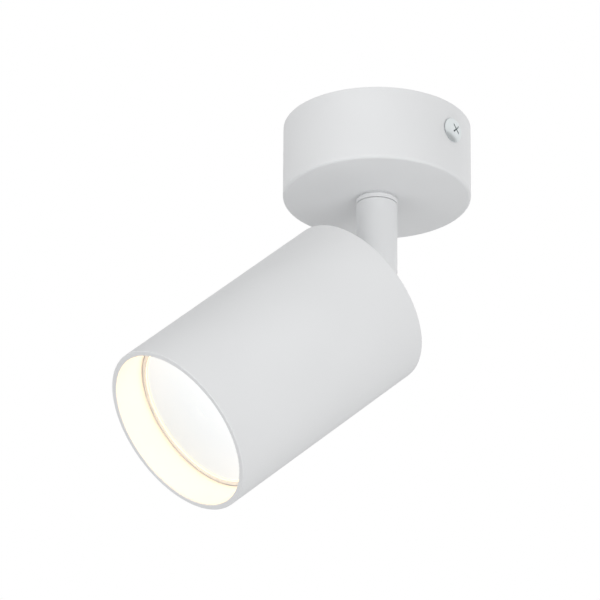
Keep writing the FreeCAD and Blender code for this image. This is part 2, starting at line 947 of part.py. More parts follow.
def swivel_nipple():
    """The hollow threaded tube, with two flats above the canopy floor."""
    body = turned("nipple_tube", [
        (size.nipple_bore, at.nipple_foot + size.seat_gap),
        (size.nipple_radius, at.nipple_foot + size.seat_gap),
        (size.nipple_radius, at.nipple_top),
        (size.nipple_bore, at.nipple_top),
    ])
    top = at.nipple_top + size.nipple_radius
    cuts = flats("nipple_flat", size.flat_half_width, at.slide_washer_under, top)
    keep(cut("swivel_nipple_solid", body, cuts), "swivel_nipple")


def slide_washer():
    """The plain sliding washer on the canopy floor."""
    outside = rod("slide_disc", size.slide_washer_radius, (0, 0, at.slide_washer_under),
                  size.slide_washer_thickness)
    hole = rod("slide_hole", size.nipple_radius + size.hole_gap,
               (0, 0, at.floor_top), size.nipple_radius)
    keep(cut("slide_washer_solid", outside, [hole]), "slide_washer")


def stop_washer():
    """The keyed washer, whose tab meets the stop peg at each end of the swivel."""
    low = at.stop_washer_under
    high = at.spring_washer_under
    disc = rod("stop_disc", size.slide_washer_radius, (0, 0, low), size.stop_washer_thickness)
    tab = box("stop_tab", (0, -size.stop_tab_half_width, low),
              (size.stop_tab_reach, size.stop_tab_half_width, high))
    hole = rod("stop_hole", size.nipple_radius + size.hole_gap, (0, 0, low), high - low)
    key = size.flat_half_width + size.hole_gap
    keyed = cut("stop_key", hole, flats("stop_key_side", key, low, high))
    keep(cut("stop_washer_solid", fuse("stop_blank", [disc, tab]), [keyed]), "stop_washer")


def spring_washer():
    """A dished spring washer under the lock nut."""
    hole = size.nipple_radius + size.hole_gap
    low = at.spring_washer_under
    rise = size.spring_washer_height - size.spring_washer_thickness
    keep(turned("dished_washer", [
        (hole, low + rise),
        (size.slide_washer_radius, low),
        (size.slide_washer_radius, low + size.spring_washer_thickness),
        (hole, low + size.spring_washer_height),
    ]), "spring_washer")


def nut(name, flat, low, height, hole):
    """A hexagon nut with its corners turned off at both faces."""
    prism = hexagon(f"{name}_hexagon", flat, (0, 0, low), height)
    corner = flat / cosine(30)
    drop = (corner - flat) * 0.6
    envelope = turned(f"{name}_envelope", [
        (hole, low),
        (flat, low),
        (corner, low + drop),
        (corner, low + height - drop),
        (flat, low + height),
        (hole, low + height),
    ])
    return common(f"{name}_solid", [prism, envelope])


def lock_nut():
    """The nut that holds the swivel together."""
    hole = size.nipple_radius + size.thread_gap
    solid = nut("swivel_nut", size.lock_nut_flat, at.lock_nut_under, size.lock_nut_height, hole)
    keep(solid, "lock_nut")


def lead_sleeve():
    """The sleeve round the leads, down the stem and round the knuckle into the head."""
    pivot = -size.pivot_depth
    direction_x = -sine(size.head_tilt)
    direction_z = -cosine(size.head_tilt)
    end = -at.sleeve_end
    points = [
        (0, 0, at.sleeve_top),
        (0, 0, pivot),
        (direction_x * end, 0, pivot + direction_z * end),
    ]
    bend = size.sleeve_bend_start / math.tan(math.radians(float(size.head_tilt) / 2))
    keep(lead("sleeve_run", points, bend, size.sleeve_radius), "lead_sleeve")


# ---------------------------------------------------------------- knuckle on the head


def hinge_tongue():
    """The hollow tongue: two ears on the pivot, a shoulder and a threaded spigot."""
    radius = size.tongue_radius
    half = size.tongue_thickness / 2
    blank = fuse("tongue_blank", [
        rod("tongue_round", radius, (0, -half, 0), half * 2, "Y"),
        box("tongue_bar", (-radius, -half, at.shoulder_back), (radius, half, 0)),
        rod("tongue_shoulder", size.shoulder_radius, (0, 0, at.head_back),
            at.shoulder_back - at.head_back),
        rod("tongue_spigot", size.spigot_radius, (0, 0, at.spigot_end), at.head_back - at.spigot_end),
    ])
    wide = radius * 2
    slot = size.tongue_slot / 2
    cuts = [
        box("tongue_slot_room", (-wide, -slot, -size.tongue_slot_depth), (wide, slot, wide)),
        rod("tongue_channel", at.spigot_bore, (0, 0, at.spigot_end - wide),
            -at.spigot_end + wide),
        rod("tongue_thread", size.pivot_screw_radius + size.thread_gap,
            (0, -wide, 0), wide * 2, "Y"),
    ]
    keep_in_head(cut("hinge_tongue_solid", blank, cuts), "hinge_tongue")


def pivot_screws():
    """Two short slotted screws: each turns in a fork cheek and grips the tongue."""
    screws = []
    seat = size.fork_slot / 2 + size.cheek_bearing + size.seat_gap
    reach = seat - size.tongue_thickness / 2 + size.pivot_screw_grip
    for side in (1, -1):
        body = screw(
            f"pivot_screw_{'far' if side > 0 else 'near'}",
            size.pivot_screw_radius,
            reach,
            size.pivot_head_radius,
            size.pivot_head_height,
            "slot",
        )
        screws.append(move(body, (0, seat * side, 0), Rotation(Vector(1, 0, 0), -90 * side)))
    keep_in_head(group("pivot_screw_pair", screws), "pivot_screws")


def friction_washers():
    """Two thin washers between the tongue and the fork cheeks."""
    washers = []
    face = size.tongue_thickness / 2
    hole = size.pivot_screw_radius + size.hole_gap
    for side in (1, -1):
        start = face if side > 0 else -face - size.friction_washer_thickness
        disc = rod(f"friction_disc_{side}", size.friction_washer_radius,
                   (0, start, 0), size.friction_washer_thickness, "Y")
        bore = rod(f"friction_bore_{side}", hole, (0, start - face, 0), face * 3, "Y")
        washers.append(cut(f"friction_washer_{side}", disc, [bore]))
    keep_in_head(group("friction_washer_pair", washers), "friction_washers")


def tongue_washer():
    """The toothed washer under the tongue's nut."""
    body = turned("toothed_washer", [
        (size.spigot_radius + size.hole_gap, at.tongue_nut_back),
        (size.tongue_washer_radius, at.tongue_nut_back),
        (size.tongue_washer_radius, at.cap_front),
        (size.spigot_radius + size.hole_gap, at.cap_front),
    ])
    notch = sketch_on(body, "XY_Plane", "washer_notch", at.tongue_nut_back)
    outer = size.tongue_washer_radius * 1.1
    inner = size.tongue_washer_radius * 0.82
    wide = size.tongue_washer_radius * 0.09
    outline(notch, [(inner, -wide), (outer, -wide), (outer, wide), (inner, wide)])
    first = pocket(body, notch, size.tongue_washer_thickness, upwards=True)
    ring = body.newObject("PartDesign::PolarPattern", "washer_notches")
    ring.Originals = [first]
    axis = next(item for item in body.Origin.OriginFeatures if item.Role == "Z_Axis")
    ring.Axis = (axis, [""])
    ring.Angle = 360
    ring.Occurrences = 12
    body.Tip = ring
    keep_in_head(body, "tongue_washer")


def tongue_nut():
    """The nut on the tongue's spigot."""
    hole = size.spigot_radius + size.thread_gap
    low = at.tongue_nut_back - size.tongue_nut_height
    keep_in_head(nut("spigot_nut", size.tongue_nut_flat, low, size.tongue_nut_height, hole),
                 "tongue_nut")


# ---------------------------------------------------------------- head


def head_tube():
    """The white cylinder, open at the mouth, with a ledge for the rear cap."""
    seat = at.head_bore + size.cap_ledge
    body = turned("tube", [
        (at.head_bore, at.mouth),
        (size.head_radius, at.mouth),
        (size.head_radius, at.head_back),
        (seat, at.head_back),
        (seat, at.cap_front),
        (at.head_bore, at.cap_front),
    ])
    edges = [
        (at.head_bore, at.mouth),
        (size.head_radius, at.mouth),
        (size.head_radius, at.head_back),
    ]
    round_rings(body, edges, size.head_edge_round, "tube_edges")
    keep_in_head(body, "head_tube")


def rear_cap():
    """The disc pressed into the rear of the tube."""
    disc = rod("cap_disc", at.head_bore + size.cap_ledge - size.seat_gap,
               (0, 0, at.cap_front), size.cap_thickness)
    cuts = [rod("cap_hole", size.spigot_radius + size.hole_gap,
                (0, 0, at.cap_front - size.cap_thickness), size.cap_thickness * 3)]
    depth = size.small_screw_grip + size.body_gap
    for side in (1, -1):
        cuts.append(rod(
            f"cap_thread_{side}",
            size.small_screw_radius + size.thread_gap,
            (at.bracket_screw_place * side, 0, at.cap_front - depth),
            depth * 2,
        ))
    keep_in_head(cut("rear_cap_solid", disc, cuts), "rear_cap")


def socket_bracket():
    """The strap that bridges the nut and carries the socket."""
    body = new_body("strap")
    leg = at.strap_leg
    thick = size.strap_thickness
    foot = at.strap_foot
    profile = sketch_on(body, "XZ_Plane", "strap_profile")
    outline(profile, [
        (-foot, at.cap_front), (-foot, at.strap_foot_front),
        (-leg, at.strap_foot_front), (-leg, at.socket_back),
        (leg, at.socket_back), (leg, at.strap_foot_front),
        (foot, at.strap_foot_front), (foot, at.cap_front),
        (leg - thick, at.cap_front), (leg - thick, at.strap_back),
        (thick - leg, at.strap_back), (thick - leg, at.cap_front),
    ])
    pad(body, profile, size.strap_width, both_ways=True)
    hole = size.small_screw_radius
    reach = -at.socket_back
    cuts = [rod("strap_window", size.strap_window_radius, (0, 0, at.socket_back - thick), reach)]
    for side in (1, -1):
        cuts.append(rod(f"strap_foot_hole_{side}", hole + size.hole_gap,
                        (at.bracket_screw_place * side, 0, at.socket_back), reach))
        cuts.append(rod(f"strap_thread_{side}", hole + size.thread_gap,
                        (size.socket_screw_place * side, 0, at.socket_back - thick), reach))
    keep_in_head(cut("socket_bracket_solid", body, cuts), "socket_bracket")


def bracket_screws():
    """Two screws through the strap's feet into the rear cap, one of them with the lug."""
    screws = []
    for side, seat in ((1, at.head_lug_front), (-1, at.strap_foot_front)):
        name = f"bracket_screw_{'far' if side > 0 else 'near'}"
        body = small_screw(name, at.cap_front - seat + size.small_screw_grip)
        place = (at.bracket_screw_place * side, 0, seat - size.seat_gap)
        screws.append(move(body, place, Rotation(Vector(1, 0, 0), 180)))
    keep_in_head(group("bracket_screw_pair", screws), "bracket_screws")


def arc_slot(name, half_width, side, low, high):
    """The slot that a lamp pin sweeps, from its locked place to its free one."""
    pin = size.pin_spacing / 2
    height = high - low
    outer = rod(f"{name}_outer", pin + half_width, (0, 0, low), height, angle=size.twist_angle)
    inner = rod(f"{name}_inner", pin - half_width, (0, 0, low), height)
    sweep = cut(f"{name}_sweep", outer, [inner])
    start = 0 if side > 0 else 180
    sweep.Placement = Placement(Vector(), Rotation(Vector(0, 0, 1), start - float(size.twist_angle)))
    sweep.setExpression("Placement.Rotation.Angle", (start - size.twist_angle).formula)
    return sweep


def keyhole(side):
    """The room for one lamp pin: a narrow slot in front, a wide channel behind."""
    pin = size.pin_spacing / 2 * side
    free_x = pin * cosine(size.twist_angle)
    free_y = -pin * sine(size.twist_angle)
    front = at.socket_front - size.face_gap
    narrow = size.keyhole_half_width
    wide = size.keyhole_head_radius
    wall = at.channel_front - front
    return [
        arc_slot(f"keyhole_{side}", narrow, side, front, at.channel_front),
        rod(f"keyhole_lock_{side}", narrow, (pin, 0, front), wall),
        rod(f"keyhole_free_{side}", wide, (free_x, free_y, front), at.channel_back - front),
        arc_slot(f"channel_{side}", wide, side, at.channel_front, at.channel_back),
        rod(f"channel_lock_{side}", wide, (pin, 0, at.channel_front), size.socket_channel),
        rod(f"lead_way_{side}", size.lead_radius + size.hole_gap,
            (pin, 0, at.channel_back - wide), wide * 2),
    ]


def lamp_socket():
    """The oval ceramic socket: keyholes in front, a lead cavity behind."""
    half_width = size.socket_width / 2
    run = size.socket_length / 2 - half_width
    blank = fuse("socket_blank", [
        box("socket_middle", (-run, -half_width, at.socket_front), (run, half_width, at.socket_back)),
        rod("socket_end_1", half_width, (run, 0, at.socket_front), size.socket_height),
        rod("socket_end_2", half_width, (-run, 0, at.socket_front), size.socket_height),
    ])
    cuts = keyhole(1) + keyhole(-1)
    cuts.append(rod("socket_cavity", size.socket_cavity_radius,
                    (0, 0, at.cavity_front), size.socket_height))
    for side in (1, -1):
        place = size.socket_screw_place * side
        cuts.append(rod(f"socket_screw_hole_{side}", size.small_screw_radius + size.hole_gap,
                        (place, 0, at.socket_front - size.socket_height), size.socket_height * 3))
        cuts.append(rod(f"socket_head_room_{side}", size.small_head_radius + size.hole_gap,
                        (place, 0, at.socket_front - size.socket_height),
                        size.socket_height + size.small_head_height + size.body_gap))
    keep_in_head(cut("lamp_socket_solid", blank, cuts), "lamp_socket")


def socket_screws():
    """Two long screws through the socket into the strap."""
    screws = []
    level = at.socket_front + size.small_head_height + size.body_gap - size.seat_gap
    reach = at.strap_back + size.body_gap - level
    for side in (1, -1):
        body = small_screw(f"socket_screw_{'far' if side > 0 else 'near'}", reach)
        place = (size.socket_screw_place * side, 0, level)
        screws.append(move(body, place, Rotation(Vector(1, 0, 0), 180)))
    keep_in_head(group("socket_screw_pair", screws), "socket_screws")


def socket_contacts():
    """Two folded spring contacts at the back of the keyhole channels."""
    contacts = []
    half = size.contact_side / 2
    strip = size.contact_strip
    back = at.channel_back
    front = back - size.contact_height
    for side in (1, -1):
        middle = size.pin_spacing / 2 * side
        body = new_body(f"contact_{'far' if side > 0 else 'near'}")
        profile = sketch_on(body, "XZ_Plane", f"contact_profile_{'far' if side > 0 else 'near'}")
        outline(profile, [
            (middle - half, back), (middle + half, back), (middle + half, back - strip),
            (middle - half + strip, back - strip), (middle - half + strip, front + strip),
            (middle + half, front + strip), (middle + half, front), (middle - half, front),
        ])
        pad(body, profile, size.contact_side, both_ways=True)
        contacts.append(body)
    keep_in_head(group("contact_pair", contacts), "socket_contacts")


def head_earth_lug():
    """The ring lug between one bracket screw and the strap's foot."""
    place = at.bracket_screw_place
    radius = at.head_lug_radius
    disc = rod("head_lug_disc", radius, (place, 0, at.head_lug_front), size.lug_thickness)
    tail = box(
        "head_lug_tail",
        (place - radius / 3, -size.lug_tail, at.head_lug_front),
        (place + radius / 3, 0, at.head_lug_front + size.lug_thickness),
    )
    opening = rod(
        "head_lug_opening",
        size.small_screw_radius + size.hole_gap,
        (place, 0, at.head_lug_front - size.lug_thickness),
        size.lug_thickness * 3,
    )
    blank = fuse("head_lug_blank", [disc, tail])
    keep_in_head(cut("head_earth_lug_solid", blank, [opening]), "head_earth_lug")


def head_leads():
    """Live and neutral from the sleeve to the contacts, earth to its lug."""
    radius = size.lead_radius
    start = at.sleeve_end - size.seat_gap
    bend = radius * 2
    for label, side, number in (("head_live_lead", 1, 1), ("head_neutral_lead", -1, 2)):
        pin = size.pin_spacing / 2 * side
        start_x, start_y = lead_start(number)
        points = [
            (start_x, start_y, start),
            (start_x, start_y, start - radius),
            (pin, 0, at.cavity_front + radius),
            (pin, 0, at.channel_back + size.seat_gap),
        ]
        keep_in_head(lead(f"{label}_run", points, bend / 2, radius), label)
    lug_place = at.bracket_screw_place
    lug_end = -size.lug_tail
    level = at.head_lug_front - radius - size.seat_gap
    side_way = size.strap_width / 2 + radius * 3
    points = [
        (0, -size.lead_ring, start),
        (0, -size.lead_ring, start - radius * 1.2),
        (radius * 4, -side_way, start - radius),
        (lug_place - radius * 2, -side_way - radius, level - radius),
        (lug_place, lug_end - radius, level),
        (lug_place, lug_end + radius * 2, level),
    ]
    keep_in_head(lead("head_earth_run", points, bend / 2, radius), "head_earth_lead")


# ---------------------------------------------------------------- lamp


def lamp_housing():
    """The reflector-shaped lamp body, a shell with a seat for the lens."""
    face = at.lamp_face
    wall = size.lamp_wall
    rim = face + size.lamp_rim_height
    shoulder = face + size.lamp_body_height
    seat = at.lens_radius + size.face_gap
    keep_in_head(turned("lamp_shell", [
        (seat, face),
        (at.lamp_radius, face),
        (at.lamp_radius, rim),
        (size.lamp_neck_radius + wall, shoulder),
        (size.lamp_neck_radius, shoulder),
        (at.lamp_inside, rim),
        (at.lamp_inside, face + size.lens_seat),
        (seat, face + size.lens_seat),
    ]), "lamp_housing")


def lamp_base():
    """The narrow rear of the lamp, from the shell to the pins."""
    low = at.lamp_face + size.lamp_body_height - size.lamp_rim_height
    radius = size.lamp_neck_radius - size.seat_gap
    shoulder = at.lamp_face + size.lamp_body_height
    inside = radius - size.lamp_wall
    body = turned("lamp_neck", [
        (inside, low),
        (radius, low),
        (radius, at.lamp_back),
        (0, at.lamp_back),
        (0, at.lamp_back - size.pin_head_length),
        (inside, at.lamp_back - size.pin_head_length),
    ])
    cuts = []
    wide = radius * 2
    flat = size.socket_width / 2
    for side in (1, -1):
        edge = flat * side
        near, far = (edge, edge + wide) if side > 0 else (edge - wide, edge)
        cuts.append(box(f"lamp_flat_{side}", (-wide, near, shoulder + size.seat_gap),
                        (wide, far, at.lamp_back + wide)))
    keep_in_head(cut("lamp_base_solid", body, cuts), "lamp_base")


def lamp_pins():
    """The two mushroom pins of the lamp."""
    pins = []
    neck_end = at.lamp_back + size.pin_neck_length
    for side in (1, -1):
        body = turned(f"pin_{'far' if side > 0 else 'near'}", [
            (0, at.lamp_back),
            (size.pin_neck_radius, at.lamp_back),
            (size.pin_neck_radius, neck_end),
            (size.pin_head_radius, neck_end),
            (size.pin_head_radius, neck_end + size.pin_head_length),
            (0, neck_end + size.pin_head_length),
        ])
        pins.append(move(body, (size.pin_spacing / 2 * side, 0, 0)))
    keep_in_head(group("pin_pair", pins), "lamp_pins")


def lamp_led_board():
    """The round board behind the lens."""
    disc = rod("board_disc", at.board_radius, (0, 0, at.lamp_face + size.board_depth),
               size.board_thickness)
    keep_in_head(group("board", [disc]), "lamp_led_board")


def lamp_leds():
    """A ring of light-emitting packages on the board."""
    half = size.led_side / 2
    front = at.lamp_face + size.board_depth - size.led_height
    packages = []
    for number in range(LED_COUNT):
        package = box(f"led_{number}", (size.led_circle - half, -half, front),
                      (size.led_circle + half, half, front + size.led_height))
        holder = group(f"led_holder_{number}", [package])
        turn = 360 * number / LED_COUNT
        holder.Placement = Placement(Vector(), Rotation(Vector(0, 0, 1), turn))
        packages.append(holder)
    keep_in_head(group("led_ring", packages), "lamp_leds")


def lamp_lens():
    """The frosted front disc, domed a little."""
    back = at.lamp_face + size.lens_seat
    body = new_body("lens")
    profile = sketch_on(body, "XZ_Plane", "lens_profile")
    radius = at.lens_radius
    front = at.lamp_face - size.lens_dome
    side_point = Vector(float(radius), float(at.lamp_face), 0)
    top_point = Vector(0, float(front), 0)
    dome_radius = (radius * radius + size.lens_dome * size.lens_dome) / (size.lens_dome * 2)
    centre = Vector(0, float(front + dome_radius), 0)
    across = Part.Arc(
        top_point,
        Vector(float(radius) / 2, float(front + dome_radius)
               - math.sqrt(float(dome_radius) ** 2 - float(radius) ** 2 / 4), 0),
        side_point,
    )
    profile.addGeometry(across)
    profile.addGeometry(Part.LineSegment(side_point, Vector(float(radius), float(back), 0)))
    profile.addGeometry(Part.LineSegment(Vector(float(radius), float(back), 0),
                                         Vector(0, float(back), 0)))
    profile.addGeometry(Part.LineSegment(Vector(0, float(back), 0), top_point))
    profile.addConstraint(Sketcher.Constraint("Coincident", 0, 2, 1, 1))
    profile.addConstraint(Sketcher.Constraint("Coincident", 1, 2, 2, 1))
    profile.addConstraint(Sketcher.Constraint("Coincident", 2, 2, 3, 1))
    profile.addConstraint(Sketcher.Constraint("Coincident", 3, 2, 0, 1))
    pin_point(profile, 1, 1, (radius, at.lamp_face))
    pin_point(profile, 2, 1, (radius, back))
    pin_point(profile, 3, 1, (0, back))
    pin_point(profile, 0, 3, (0, front + dome_radius))
    profile.addConstraint(Sketcher.Constraint("PointOnObject", 0, 1, -2))
    turn = body.newObject("PartDesign::Revolution", "lens_turned")
    turn.Profile = (profile, [""])
    turn.ReferenceAxis = (profile, ["V_Axis"])
    turn.Angle = 360
    keep_in_head(body, "lamp_lens")


def lamp_retaining_ring():
    """The ring in front of the lamp's rim."""
    body = turned("retaining_ring", [
        (at.ring_bore, at.ring_front),
        (at.ring_radius, at.ring_front),
        (at.ring_radius, at.ring_back),
        (at.ring_bore, at.ring_back),
    ])
    round_rings(body, [(at.ring_bore, at.ring_front)], size.ring_thickness / 5, "ring_edge")
    keep_in_head(body, "lamp_retaining_ring")


# ---------------------------------------------------------------- the whole fitting


def build():
    """Make every sub-part."""
    mounting_plate()
    canopy_cover()
    canopy_screws()
    swivel_collar()
    terminal_housing()
    terminal_clamps()
    terminal_screws()
    terminal_fixing_screw()
    earth_point()
    canopy_leads()
    stem_tube()
    swivel_nipple()
    slide_washer()
    stop_washer()
    spring_washer()
    lock_nut()
    lead_sleeve()
    hinge_tongue()
    pivot_screws()
    friction_washers()
    tongue_washer()
    tongue_nut()
    head_tube()
    rear_cap()
    socket_bracket()
    bracket_screws()
    lamp_socket()
    socket_screws()
    socket_contacts()
    head_earth_lug()
    head_leads()
    lamp_housing()
    lamp_base()
    lamp_pins()
    lamp_led_board()
    lamp_leds()
    lamp_lens()
    lamp_retaining_ring()
    document.recompute()


def check():
    """Stop if a feature failed or a sub-part's shape is empty or invalid."""
    for item in document.Objects:
        if "Invalid" in item.State or "Error" in item.State:
            raise ValueError(f"{item.Name} ({item.Label}) failed")
    for label, thing in sub_parts.items():
        if thing.Shape.isNull() or not thing.Shape.isValid() or not thing.Shape.Solids:
            raise ValueError(f"{label} has no valid shape")


def write():
    """Write one STEP file for each sub-part."""
    os.makedirs(PARTS_FOLDER, exist_ok=True)
    for label, thing in sub_parts.items():
        thing.Shape.exportStep(os.path.join(PARTS_FOLDER, f"{label}.step"))
        print(f"{label}: {len(thing.Shape.Solids)} solids, {thing.Shape.Volume:.1f} mm3")


build()
check()
write()
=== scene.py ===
"""Ceiling spotlight: finishes, detailed pieces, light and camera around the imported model."""

import json
import logging
import math
from dataclasses import dataclass
from enum import Enum

import bmesh
import bpy
from mathutils import Matrix, Vector


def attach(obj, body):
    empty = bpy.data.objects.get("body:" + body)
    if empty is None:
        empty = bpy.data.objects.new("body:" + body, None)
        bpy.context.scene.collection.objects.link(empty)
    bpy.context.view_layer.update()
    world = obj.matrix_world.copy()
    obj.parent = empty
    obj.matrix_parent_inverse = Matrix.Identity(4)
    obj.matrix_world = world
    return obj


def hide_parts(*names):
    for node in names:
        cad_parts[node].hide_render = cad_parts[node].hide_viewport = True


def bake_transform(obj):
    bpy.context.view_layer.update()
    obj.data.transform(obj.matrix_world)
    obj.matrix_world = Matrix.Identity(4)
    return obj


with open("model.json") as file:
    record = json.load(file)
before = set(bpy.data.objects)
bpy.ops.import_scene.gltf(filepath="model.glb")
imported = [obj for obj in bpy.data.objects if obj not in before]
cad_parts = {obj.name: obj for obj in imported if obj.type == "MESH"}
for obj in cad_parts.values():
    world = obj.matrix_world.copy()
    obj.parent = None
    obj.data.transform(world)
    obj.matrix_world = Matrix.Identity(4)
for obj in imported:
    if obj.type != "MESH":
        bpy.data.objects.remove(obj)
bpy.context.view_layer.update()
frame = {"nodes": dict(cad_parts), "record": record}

MM = 0.001
SHARP_ANGLE = math.radians(32)
FULL_TURN = 2 * math.pi
ROUND_STEPS = 6
WELD = MM / 1000

# a wave texture of scale 1 has about six light or dark bands in a metre
BANDS_PER_METRE = 6

log = logging.getLogger("spotlight")


# ------------------------------------------------------------------ shared helpers


def linear(colour: str) -> tuple[float, float, float, float]:
    """Turn an sRGB hex colour into linear values.

    Args:
        colour: A colour such as "#f2f2f0".

    Returns:
        Red, green, blue and an alpha of 1.
    """
    channels = [int(colour[start:start + 2], 16) / 255 for start in (1, 3, 5)]
    values = [c / 12.92 if c <= 0.04045 else ((c + 0.055) / 1.055) ** 2.4 for c in channels]
    return (*values, 1.0)


def add_node(
    tree: bpy.types.NodeTree,
    kind: str,
    inputs: dict[str | int, object] | None = None,
    **settings: object,
) -> bpy.types.Node:
    """Add a node with its settings, values and incoming links.

    Args:
        tree: The node tree that gets the node.
        kind: The node's type.
        inputs: A value, or the socket to link from, for each input.
        settings: The node's own properties.

    Returns:
        The new node.
    """
    node = tree.nodes.new(kind)
    for name, value in settings.items():
        setattr(node, name, value)
    for key, value in (inputs or {}).items():
        if isinstance(value, bpy.types.NodeSocket):
            tree.links.new(value, node.inputs[key])
        else:
            node.inputs[key].default_value = value
    return node


def new_material(name: str) -> tuple[bpy.types.Material, bpy.types.NodeTree, bpy.types.Node]:
    """Make an empty node material.

    Args:
        name: The material's name.

    Returns:
        The material, its node tree and its output node.
    """
    material = bpy.data.materials.new(name)
    material.use_nodes = True
    tree = material.node_tree
    tree.nodes.clear()
    return material, tree, add_node(tree, "ShaderNodeOutputMaterial")


class Body(Enum):
    """The bodies of the frame that new pieces ride on."""

    CEILING = "ceiling_base"
    STEM = "stem"
    HEAD = "head"


class Slot(Enum):
    """Two of the record's material slots, for the screws and the sleeve."""

    SCREW = "nickel_plate"
    SLEEVE = "sleeve_glass_fibre"


def add_piece(
    name: str, shape: bmesh.types.BMesh, material: bpy.types.Material
) -> bpy.types.Object:
    """Turn a finished shape into an object whose place is in its mesh.

    Args:
        name: The piece's name.
        shape: The shape in its place in the row frame, which is freed.
        material: Its finish.

    Returns:
        The new object.
    """
    bmesh.ops.recalc_face_normals(shape, faces=shape.faces)
    for edge in shape.edges:
        edge.smooth = edge.calc_face_angle(math.pi) < SHARP_ANGLE
    mesh = bpy.data.meshes.new(name)
    shape.to_mesh(mesh)
    shape.free()
    mesh.shade_smooth()
    mesh.materials.append(material)
    piece = bpy.data.objects.new(name, mesh)
    bpy.context.scene.collection.objects.link(piece)
    log.info("%s has %d faces", name, len(mesh.polygons))
    return piece


# ------------------------------------------------------------------ finishes


@dataclass(frozen=True)
class PowderCoat:
    """Matt white polyester powder coat, sprayed on metal and baked.

    It flows into a very fine orange peel, so highlights are broad and soft.
    """

    name: str
    colour: str = "#e6e7e8"
    shade: str = "#e0e1e2"
    roughness: float = 0.75
    roughness_drift: float = 0.04
    mirror: float = 0.12
    peel_mm: float = 0.55
    peel_depth_mm: float = 0.012
    drift_mm: float = 28.0

    def make(self) -> bpy.types.Material:
        """Build the material.

        Returns:
            The material.
        """
        material, tree, output = new_material(self.name)
        place = add_node(tree, "ShaderNodeTexCoord").outputs["Object"]
        peel = add_node(tree, "ShaderNodeTexNoise",
                        {"Vector": place, "Scale": 1 / (self.peel_mm * MM), "Detail": 2.0})
        drift = add_node(tree, "ShaderNodeTexNoise",
                         {"Vector": place, "Scale": 1 / (self.drift_mm * MM), "Detail": 1.0})
        tone = add_node(tree, "ShaderNodeMix",
                        {"Factor": drift.outputs["Fac"], "A": linear(self.shade),
                         "B": linear(self.colour)}, data_type="RGBA")
        rough = add_node(tree, "ShaderNodeMapRange",
                         {"Value": drift.outputs["Fac"],
                          "To Min": self.roughness - self.roughness_drift,
                          "To Max": self.roughness + self.roughness_drift})
        bump = add_node(tree, "ShaderNodeBump",
                        {"Height": peel.outputs["Fac"], "Distance": self.peel_depth_mm * MM,
                         "Strength": 0.6})
        shader = add_node(tree, "ShaderNodeBsdfPrincipled",
                          {"Base Color": tone.outputs["Result"],
                           "Roughness": rough.outputs["Result"],
                           "Normal": bump.outputs["Normal"], "IOR": 1.5,
                           "Specular IOR Level": self.mirror})
        tree.links.new(shader.outputs["BSDF"], output.inputs["Surface"])
        return material


@dataclass(frozen=True)
class MetalFinish:
    """Bare or plated metal: a sharp highlight broken by a fine grain."""

    name: str
    colour: str
    roughness: float
    smooth_share: float = 0.8
    rough_share: float = 1.3
    grain_mm: float = 0.2
    grain_depth_mm: float = 0.004

    def make(self) -> bpy.types.Material:
        """Build the material.

        Returns:
            The material.
        """
        material, tree, output = new_material(self.name)
        place = add_node(tree, "ShaderNodeTexCoord").outputs["Object"]
        grain = add_node(tree, "ShaderNodeTexNoise",
                         {"Vector": place, "Scale": 1 / (self.grain_mm * MM), "Detail": 3.0})
        rough = add_node(tree, "ShaderNodeMapRange",
                         {"Value": grain.outputs["Fac"],
                          "To Min": self.roughness * self.smooth_share,
                          "To Max": self.roughness * self.rough_share})
        bump = add_node(tree, "ShaderNodeBump",
                        {"Height": grain.outputs["Fac"], "Distance": self.grain_depth_mm * MM,
                         "Strength": 0.5})
        shader = add_node(tree, "ShaderNodeBsdfPrincipled",
                          {"Base Color": linear(self.colour), "Metallic": 1.0,
                           "Roughness": rough.outputs["Result"],
                           "Normal": bump.outputs["Normal"]})
        tree.links.new(shader.outputs["BSDF"], output.inputs["Surface"])
        return material


@dataclass(frozen=True)
class MouldedFinish:
    """Moulded plastic, silicone or fired ceramic: even colour with a faint grain."""

    name: str
    colour: str
    shade: str
    roughness: float
    ior: float = 1.5
    grain_mm: float = 0.4
    grain_depth_mm: float = 0.01

    def make(self) -> bpy.types.Material:
        """Build the material.

        Returns:
            The material.
        """
        material, tree, output = new_material(self.name)
        place = add_node(tree, "ShaderNodeTexCoord").outputs["Object"]
        grain = add_node(tree, "ShaderNodeTexNoise",
                         {"Vector": place, "Scale": 1 / (self.grain_mm * MM), "Detail": 3.0})
        tone = add_node(tree, "ShaderNodeMix",
                        {"Factor": grain.outputs["Fac"], "A": linear(self.shade),
                         "B": linear(self.colour)}, data_type="RGBA")
        bump = add_node(tree, "ShaderNodeBump",
                        {"Height": grain.outputs["Fac"], "Distance": self.grain_depth_mm * MM,
                         "Strength": 0.5})
        shader = add_node(tree, "ShaderNodeBsdfPrincipled",
                          {"Base Color": tone.outputs["Result"], "Roughness": self.roughness,
                           "Normal": bump.outputs["Normal"], "IOR": self.ior})
        tree.links.new(shader.outputs["BSDF"], output.inputs["Surface"])
        return material


